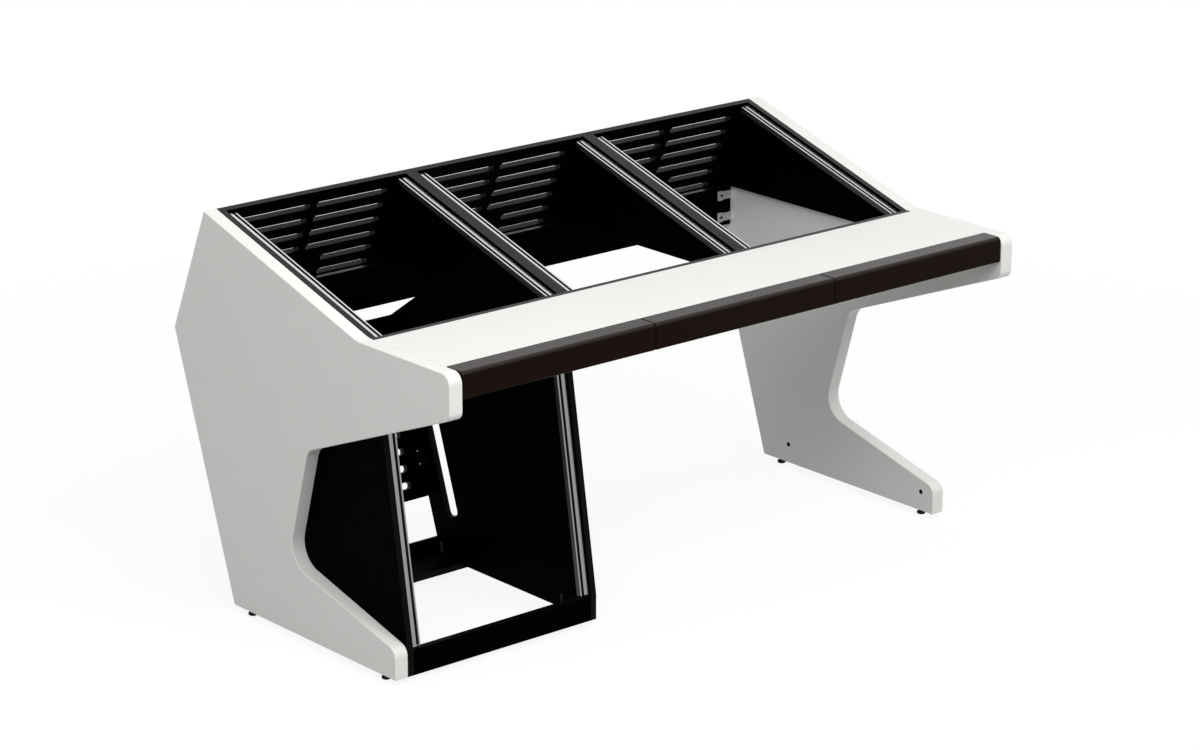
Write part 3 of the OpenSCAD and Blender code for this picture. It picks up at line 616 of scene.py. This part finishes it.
def rounded(name, radius, smallest_loop=30 * mm, lining=0.0):
    """A copy of a part with eased edges, which stands for the part."""
    mesh = clean_mesh(name)
    if lining:
        line_slots(mesh, lining)
    mark_outlines(mesh, smallest_loop)
    mesh.materials.append(finish_of[name])
    mesh.materials.append(finish_of[name])
    mesh.shade_smooth()
    mesh.set_sharp_from_angle(angle=crease_turn)
    piece = new_piece(name + "_rounded", mesh)
    ease = piece.modifiers.new("ease", "BEVEL")
    ease.limit_method = "WEIGHT"
    ease.width = radius
    ease.segments = steps_round_edge
    ease.use_clamp_overlap = False
    ease.loop_slide = False
    ease.material = 1
    flatten = piece.modifiers.new("flatten", "WEIGHTED_NORMAL")
    flatten.keep_sharp = True
    settle(piece)
    mark_edges(piece)
    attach(piece, "desk")
    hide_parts(name)
    return piece


def mark_edges(piece):
    """Turns the bevel's faces into an attribute that the wear pattern reads."""
    on_edge = [float(face.material_index) for face in piece.data.polygons]
    edge = piece.data.attributes.new("edge", "FLOAT", "FACE")
    edge.data.foreach_set("value", on_edge)
    for face in piece.data.polygons:
        face.material_index = 0


# %% Round the white boards and band their edges
flat_share = 0.95


def banded(name, radius, band, **options):
    """A rounded board whose narrow sides have an edge band's finish."""
    piece = rounded(name, radius, **options)
    faces = piece.data.polygons
    flat_way = max(faces, key=lambda face: face.area).normal.copy()
    piece.data.materials[1] = band
    for face in faces:
        face.material_index = 0 if abs(face.normal.dot(flat_way)) > flat_share else 1
    return piece


panels = [banded(side + "_side_panel", 2.0 * mm, white_band) for side in ("left", "right")]
top = banded("work_top", 0.8 * mm, white_band)
print("white boards:", [len(piece.data.polygons) for piece in panels + [top]], "faces")

# %% Round the black boards
edge_radius = {
    "front_board": 0.4 * mm, "back_rail": 0.5 * mm, "rack_left_wall": 0.5 * mm,
    "rack_right_wall": 0.5 * mm, "rack_front_bar": 0.5 * mm, "rack_shelf": 0.5 * mm,
    "rack_kick_bar": 0.5 * mm, "rack_back_panel": 0.25 * mm,
}
for bay in (1, 2, 3):
    for side in ("left", "right"):
        edge_radius[f"bay_{bay}_{side}_board"] = 0.3 * mm
boards = [banded(name, radius, rack_band_painted_shade if name.startswith("rack") else black_band)
          for name, radius in edge_radius.items()]
boards.append(banded("vent_panel", 0.4 * mm, black_band, smallest_loop=longest_slot,
                     lining=0.7 * mm))
print("black boards:", sum(len(piece.data.polygons) for piece in boards), "faces")

# %% Ease the rails and the brackets
rails = [name for name in nodes if "rail_" in name and name.endswith(("left", "right"))]
brackets = ["corner_brackets", "pad_brackets", "angle_brackets"]
skin_depth = 1 * mm
outward_share = 0.3


def drawn_rail(name):
    """A rail whose face is bright aluminium, and whose sides and channel are nearly black
    aluminium as painted shade.
    """
    piece = rounded(name, 0.25 * mm)
    faces = piece.data.polygons
    ahead = [face for face in faces if face.normal.z - face.normal.y > 1]
    front = max(ahead, key=lambda face: face.area)
    level = front.normal.dot(front.center)
    # Faces that are not the bright front skin take the nearly black copy, as painted shade.
    piece.data.materials[1] = painted_shade_aluminium
    for face in faces:
        outward = face.normal.dot(front.normal) > outward_share
        depth = level - front.normal.dot(face.center)
        face.material_index = 0 if outward and depth < skin_depth else 1
    return piece


drawn = [drawn_rail(name) for name in rails]
metal = [rounded(name, 0.4 * mm, smallest_loop=9 * mm) for name in brackets]
for piece in metal:
    piece.data.materials.pop(index=1)
print("rails and brackets:", [piece.name for piece in drawn + metal])

# %% [markdown]
# ## Padded front edge
# Three long pads of firm foam, covered in brown leather, lie end to end along the front
# of the desk. Such a pad is straight and full, with only a slight crown between its ends.
# Cloth that is blown up from inside gives that shape by itself. The pad is made of an
# even net that starts a little fuller than its place and a little short at its ends. It
# swells by less than a millimetre, so that it stays firm, and is then pressed flat against
# its place, as the boards and the next pad press a real one.

# %% Read and write the corners of a mesh
def corners_of(mesh):
    """All corners of a mesh as rows of x, y and z."""
    places = np.empty(len(mesh.vertices) * 3)
    mesh.vertices.foreach_get("co", places)
    return places.reshape(-1, 3)


def set_corners(mesh, places):
    mesh.vertices.foreach_set("co", places.ravel())
    mesh.update()


# %% Swell a pad
air_pressure = 4
last_step = 20
most_swelling = 0.6 * mm
no_move = 1e-9


def swell(pad):
    """Blows the pad up with the cloth solver and keeps each corner's move small."""
    rest = corners_of(pad.data)
    cloth = pad.modifiers.new("stuffing", "CLOTH")
    cloth.settings.use_pressure = True
    cloth.settings.uniform_pressure_force = air_pressure
    cloth.settings.effector_weights.gravity = 0
    for step in range(1, last_step + 1):
        scene.frame_set(step)
    seen = pad.evaluated_get(bpy.context.evaluated_depsgraph_get())
    move = corners_of(seen.data) - rest
    length = np.linalg.norm(move, axis=1, keepdims=True)
    pad.modifiers.clear()
    scene.frame_set(1)
    share = np.minimum(1, most_swelling / np.maximum(length, no_move))
    set_corners(pad.data, rest + move * share)


# %% Press a pad flat against its place
play = 0.05 * mm
pressed_together = 0.1 * mm


def press_flat(mesh, low, high):
    """Keeps a mesh inside a box and joins the corners that this presses together."""
    set_corners(mesh, np.clip(corners_of(mesh), low + play, high - play))
    shape = bmesh.new()
    shape.from_mesh(mesh)
    bmesh.ops.remove_doubles(shape, verts=shape.verts, dist=pressed_together)
    bmesh.ops.dissolve_degenerate(shape, dist=play, edges=shape.edges)
    shape.to_mesh(mesh)
    shape.free()


# %% Mark where a pad gets painted sheen
def mark_painted_sheen(mesh):
    """Marks how far each corner looks up, which sets the painted sheen on the pad's top."""
    ways = np.empty(len(mesh.vertices) * 3)
    mesh.vertex_normals.foreach_get("vector", ways)
    painted_sheen = mesh.attributes.new("painted_sheen", "FLOAT", "POINT")
    painted_sheen.data.foreach_set("value", np.clip(ways.reshape(-1, 3)[:, 2], 0, 1))


# %% Stuff the three pads
side_push = 0.9 * mm
end_slack = 0.2 * mm
net_cell = 3 * mm
relaxing = 0.5


def stuffed(name):
    """A leather pad in the place of its plain solid."""
    low, high = (np.array(corner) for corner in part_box(name))
    middle = (low + high) / 2
    mesh = clean_mesh(name)
    slack = np.array([end_slack, -side_push, -side_push])
    share = (high - low - 2 * slack) / (high - low)
    set_corners(mesh, middle + (corners_of(mesh) - middle) * share)
    pad = new_piece(name + "_stuffed", mesh)
    net = pad.modifiers.new("even net", "REMESH")
    net.mode = "VOXEL"
    net.voxel_size = net_cell
    relax = pad.modifiers.new("relax", "SMOOTH")
    relax.factor = relaxing
    relax.iterations = 1
    settle(pad)
    swell(pad)
    finer = pad.modifiers.new("finer", "SUBSURF")
    finer.levels = finer.render_levels = 1
    settle(pad)
    press_flat(pad.data, low, high)
    pad.data.materials.clear()
    pad.data.materials.append(leather)
    pad.data.shade_smooth()
    pad.data.set_sharp_from_angle(angle=sharp_turn)
    mark_painted_sheen(pad.data)
    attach(pad, "desk")
    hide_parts(name)
    return pad


pads = [stuffed(side + "_pad") for side in ("left", "middle", "right")]
print("pads:", [len(pad.data.polygons) for pad in pads], "faces")

# %% [markdown]
# ## Screws
# The desk is held by thirty screws of six kinds. Each has a round head with a recess for
# the driver, and what differs is its size, the shape of the recess and whether it has a
# shank or is only a head on a plate. That is a job for Geometry Nodes: a tree models a
# screw from its sizes, puts a copy on every point and turns it to face the way the point
# says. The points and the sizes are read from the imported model. The recess is cut with one
# closed shape, because shapes that overlap each other leave torn edges in a cut.

# %% Read where a screw sits from its solid
def solids_of(name):
    """The corners of each separate solid in a part."""
    shape = bmesh.new()
    shape.from_mesh(nodes[name].data)
    bmesh.ops.remove_doubles(shape, verts=shape.verts, dist=same_place)
    shape.verts.ensure_lookup_table()
    shape.verts.index_update()
    left = set(range(len(shape.verts)))
    found = []
    while left:
        solid = [min(left)]
        left -= set(solid)
        for index in solid:
            corner = shape.verts[index]
            near = {edge.other_vert(corner).index for edge in corner.link_edges} & left
            left -= near
            solid.extend(sorted(near))
        found.append(np.array([shape.verts[index].co for index in solid]))
    shape.free()
    return found


def axis_of(places):
    """The line that a round solid turns about: the direction in which it differs."""
    spread, directions = np.linalg.eigh(np.cov((places - places.mean(0)).T))
    odd = 0 if spread[1] - spread[0] > spread[2] - spread[1] else 2
    return directions[:, odd]


# %% Find the heads of a kind of screw
rim_share = 0.95
long_share = 3


def heads_of(name, facing):
    """Each head's outer middle and its outward direction, and the sizes of the screw."""
    points, sizes = [], None
    for places in solids_of(name):
        middle = (places.max(0) + places.min(0)) / 2
        axis = axis_of(places)
        axis = axis * np.sign(axis @ facing(middle))
        along = (places - middle) @ axis
        out = np.linalg.norm(places - middle - np.outer(along, axis), axis=1)
        head = out > rim_share * out.max()
        points.append((middle + axis * along.max(), axis))
        if head[along < 0].any() and np.ptp(along) > long_share * out.max():
            points.append((middle + axis * along.min(), -axis))
        length = np.ptp(along)
        if head.all():
            head_height, shank_width = length, 0.0
        else:
            head_height, shank_width = np.ptp(along[head & (along > 0)]), 2 * out[~head].min()
        sizes = 2 * out.max(), head_height, shank_width, length
    return points, sizes


# %% Start a tree of geometry nodes
def geometry_tree(name, sizes):
    """A tree that takes a mesh and named sizes. Returns it, its inputs and its output."""
    tree = bpy.data.node_groups.new(name, "GeometryNodeTree")
    tree.interface.new_socket("Points", in_out="INPUT", socket_type="NodeSocketGeometry")
    tree.interface.new_socket("Result", in_out="OUTPUT", socket_type="NodeSocketGeometry")
    for label, value in sizes.items():
        kind = "NodeSocketInt" if isinstance(value, int) else "NodeSocketFloat"
        tree.interface.new_socket(label, in_out="INPUT", socket_type=kind).default_value = value
    start = tree.nodes.new("NodeGroupInput").outputs
    end = tree.nodes.new("NodeGroupOutput").inputs
    return tree, start, end


def grow(piece, tree, sizes):
    """Runs a tree on a piece with these sizes and keeps the result as plain mesh."""
    modifier = piece.modifiers.new("grow", "NODES")
    modifier.node_group = tree
    for socket in tree.interface.items_tree:
        if socket.in_out == "INPUT" and socket.name in sizes:
            modifier[socket.identifier] = sizes[socket.name]
    return settle(piece)


# %% Make, move and join shapes in a tree
def cylinder(tree, sides, width, height, rings=1):
    """An upright cylinder or prism round the origin."""
    radius = reckon(tree, "MULTIPLY", width, 0.5)
    shape = add(tree, "GeometryNodeMeshCylinder",
                {"Vertices": sides, "Radius": radius, "Depth": height, "Side Segments": rings})
    return shape.outputs["Mesh"]


def raised(tree, shape, height):
    """The shape moved up, or down by a height below zero."""
    move = add(tree, "ShaderNodeCombineXYZ", {"Z": height})
    moved = add(tree, "GeometryNodeTransform",
                {"Geometry": shape, "Translation": move.outputs[0]})
    return moved.outputs[0]


def joined(tree, *shapes):
    """Several shapes as one."""
    whole = add(tree, "GeometryNodeJoinGeometry")
    for shape in shapes:
        tree.links.new(shape, whole.inputs["Geometry"])
    return whole.outputs[0]


def set_out(tree, shape, points, material, result, **turn):
    """A real copy of the shape on every point, in its material."""
    copies = add(tree, "GeometryNodeInstanceOnPoints",
                 {"Points": points, "Instance": shape, **turn})
    real = add(tree, "GeometryNodeRealizeInstances", {"Geometry": copies.outputs[0]})
    dressed = add(tree, "GeometryNodeSetMaterial",
                  {"Geometry": real.outputs[0], "Material": material})
    tree.links.new(dressed.outputs[0], result["Result"])


# %% Draw corners in towards the axis
def drawn_in(tree, shape, share):
    """Each corner goes towards the axis, to a share of its distance."""
    place = add(tree, "ShaderNodeSeparateXYZ",
                {0: add(tree, "GeometryNodeInputPosition").outputs[0]}).outputs
    moved = add(tree, "ShaderNodeCombineXYZ",
                {"X": reckon(tree, "MULTIPLY", place[0], share),
                 "Y": reckon(tree, "MULTIPLY", place[1], share), "Z": place[2]})
    drawn = add(tree, "GeometryNodeSetPosition", {"Geometry": shape, "Position": moved.outputs[0]})
    return drawn.outputs[0]


# %% Shape the recess for a driver
hexagon, cross = 6, 12
width_over_corners = {hexagon: 1.154, cross: 1.036}
inner_share = 0.366


def recess_tool(tree, size, sides):
    """A prism. In a cross, each third corner is drawn in, which leaves four arms."""
    width = reckon(tree, "MULTIPLY", size["Recess Width"], width_over_corners[sides])
    deep = reckon(tree, "MULTIPLY", size["Recess Depth"], 2.0)
    tool = cylinder(tree, sides, width, deep)
    if sides == hexagon:
        return tool
    count = add(tree, "GeometryNodeInputIndex").outputs[0]
    inner = reckon(tree, "COMPARE", reckon(tree, "MODULO", count, 3.0), 2.0, 0.1)
    return drawn_in(tree, tool, reckon(tree, "MULTIPLY_ADD", inner, inner_share - 1.0, 1.0))


# %% Model a screw once and copy it to every point
head_sides = 40
shank_sides = 24


def screw_tree(name, material, recess_sides, has_shank):
    """A round head with a recess, and a shank if it has one, on every point."""
    tree, size, result = geometry_tree(name, {
        "Head Width": 0.007, "Head Height": 0.0015, "Shank Width": 0.004, "Length": 0.015,
        "Recess Width": 0.003, "Recess Depth": 0.001})
    head = cylinder(tree, head_sides, size["Head Width"], size["Head Height"])
    head = raised(tree, head, reckon(tree, "MULTIPLY", size["Head Height"], -0.5))
    cut = add(tree, "GeometryNodeMeshBoolean",
              {"Mesh 1": head, "Mesh 2": recess_tool(tree, size, recess_sides)},
              operation="DIFFERENCE")
    parts = [cut.outputs["Mesh"]]
    if has_shank:
        below = reckon(tree, "SUBTRACT", size["Length"], size["Head Height"])
        shank = cylinder(tree, shank_sides, size["Shank Width"], below)
        ends = reckon(tree, "ADD", size["Length"], size["Head Height"])
        parts.append(raised(tree, shank, reckon(tree, "MULTIPLY", ends, -0.5)))
    facing = add(tree, "GeometryNodeInputNamedAttribute", {"Name": "facing"},
                 data_type="FLOAT_VECTOR")
    turn = add(tree, "FunctionNodeAlignRotationToVector", {"Vector": facing.outputs[0]}, axis="Z")
    set_out(tree, joined(tree, *parts), size["Points"], material, result,
            Rotation=turn.outputs[0])
    return tree


# %% Set every kind of screw
recess_depth_share = 0.6


def set_screws(name, facing, recess_sides, recess_share):
    """Screws with recesses in the place of the plain ones."""
    points, (head_width, head_height, shank_width, length) = heads_of(name, facing)
    mesh = bpy.data.meshes.new(name)
    mesh.from_pydata([tuple(place) for place, _ in points], [], [])
    directions = mesh.attributes.new("facing", "FLOAT_VECTOR", "POINT")
    directions.data.foreach_set("vector", np.array([axis for _, axis in points]).ravel())
    two_ended = len(points) > len(solids_of(name))
    has_shank = shank_width > 0
    tree = screw_tree(name.replace("_", " "), finish_of[name], recess_sides, has_shank)
    piece = grow(new_piece(name + "_turned", mesh), tree, {
        "Head Width": head_width,
        "Head Height": head_height,
        "Shank Width": shank_width,
        "Length": length / 2 if two_ended else length,
        "Recess Width": recess_share * head_width,
        "Recess Depth": recess_depth_share * head_height})
    piece.data.set_sharp_from_angle(angle=crease_turn)
    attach(piece, "desk")
    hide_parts(name)
    print(name, len(points), "heads of", round(head_width / mm, 1), "mm")
    return piece


def inward(middle):
    return np.array([-np.sign(middle[0]), 0, 0])


def forward(middle):
    return np.array([0, -1, 0])


def backward(middle):
    return np.array([0, 1, 0])


screws = [
    set_screws("panel_screws", inward, hexagon, recess_share=0.45),
    set_screws("bay_connectors", inward, hexagon, recess_share=0.45),
    set_screws("rack_wall_bolts", inward, hexagon, recess_share=0.45),
    set_screws("pad_bracket_screws", backward, cross, recess_share=0.6),
    set_screws("corner_bracket_screws", forward, cross, recess_share=0.6),
    set_screws("angle_bracket_screws", forward, cross, recess_share=0.6),
]
print("screws:", sum(len(piece.data.polygons) for piece in screws), "faces")

# %% [markdown]
# ## Threaded feet
# Each foot is a threaded stud with a six-sided collar for the spanner. A thread follows
# one rule: the radius rises and falls with the height, and the wave turns once round the
# stud for each pitch. Geometry Nodes move the corners of a fine cylinder by that rule.

# %% Work out how deep the groove is
def groove_share(tree, size):
    """The share of the radius that the groove leaves at each corner of the rod."""
    place = add(tree, "ShaderNodeSeparateXYZ",
                {0: add(tree, "GeometryNodeInputPosition").outputs[0]}).outputs
    turn = reckon(tree, "DIVIDE", reckon(tree, "ARCTAN2", place[1], place[0]), 2 * pi)
    climb = reckon(tree, "SUBTRACT", reckon(tree, "DIVIDE", place[2], size["Pitch"]), turn)
    wave = reckon(tree, "PINGPONG", climb, 0.5)
    groove = reckon(tree, "MULTIPLY", reckon(tree, "MULTIPLY", wave, 2.0), size["Depth"])
    radius = reckon(tree, "MULTIPLY", size["Width"], 0.5)
    return reckon(tree, "SUBTRACT", 1.0, reckon(tree, "DIVIDE", groove, radius))


# %% Model a threaded stud
rod_sides = 20
collar_sides = 6


def thread_tree(material):
    """A stud whose side is a thread, with a collar round it."""
    tree, size, result = geometry_tree("threaded stud", {
        "Width": 0.008, "Length": 0.05, "Pitch": 0.00125, "Depth": 0.0006,
        "Collar Width": 0.014, "Collar Height": 0.006, "Collar Level": 0.003, "Rings": 300})
    rod = cylinder(tree, rod_sides, size["Width"], size["Length"], rings=size["Rings"])
    half = reckon(tree, "MULTIPLY", size["Length"], 0.5)
    stud = raised(tree, drawn_in(tree, rod, groove_share(tree, size)), half)
    nut = cylinder(tree, collar_sides, size["Collar Width"], size["Collar Height"])
    level = reckon(tree, "MULTIPLY_ADD", size["Collar Height"], 0.5, size["Collar Level"])
    set_out(tree, joined(tree, stud, raised(tree, nut, level)), size["Points"], material, result)
    return tree


# %% Thread the six studs
thread_pitch = 1.25 * mm
thread_depth = 0.6 * mm
rings_a_pitch = 6
collar_share = 0.9
over_collar = 1 * mm
feet = 6

stud_thread = thread_tree(stud_steel_painted_shade)
for foot in range(1, feet + 1):
    name = f"foot_{foot}_stud"
    low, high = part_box(name)
    foot_place = ((low.x + high.x) / 2, (low.y + high.y) / 2, low.z)
    places = corners_of(nodes[name].data)
    out = np.hypot(places[:, 0] - foot_place[0], places[:, 1] - foot_place[1])
    collar = places[out > collar_share * out.max(), 2]
    rod = 2 * out[places[:, 2] > collar.max() + over_collar].max()
    length = high.z - low.z
    mesh = bpy.data.meshes.new(name)
    mesh.from_pydata([foot_place], [], [])
    stud = grow(new_piece(name + "_threaded", mesh), stud_thread, {
        "Width": rod,
        "Length": length,
        "Pitch": thread_pitch,
        "Depth": thread_depth,
        "Collar Width": 2 * out.max(),
        "Collar Height": float(np.ptp(collar)),
        "Collar Level": float(collar.min()) - low.z,
        "Rings": round(length / thread_pitch * rings_a_pitch)})
    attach(stud, f"foot_{foot}_screw")
    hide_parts(name)
print("stud:", round(rod / mm, 1), "mm wide,", round(length / mm), "mm long")
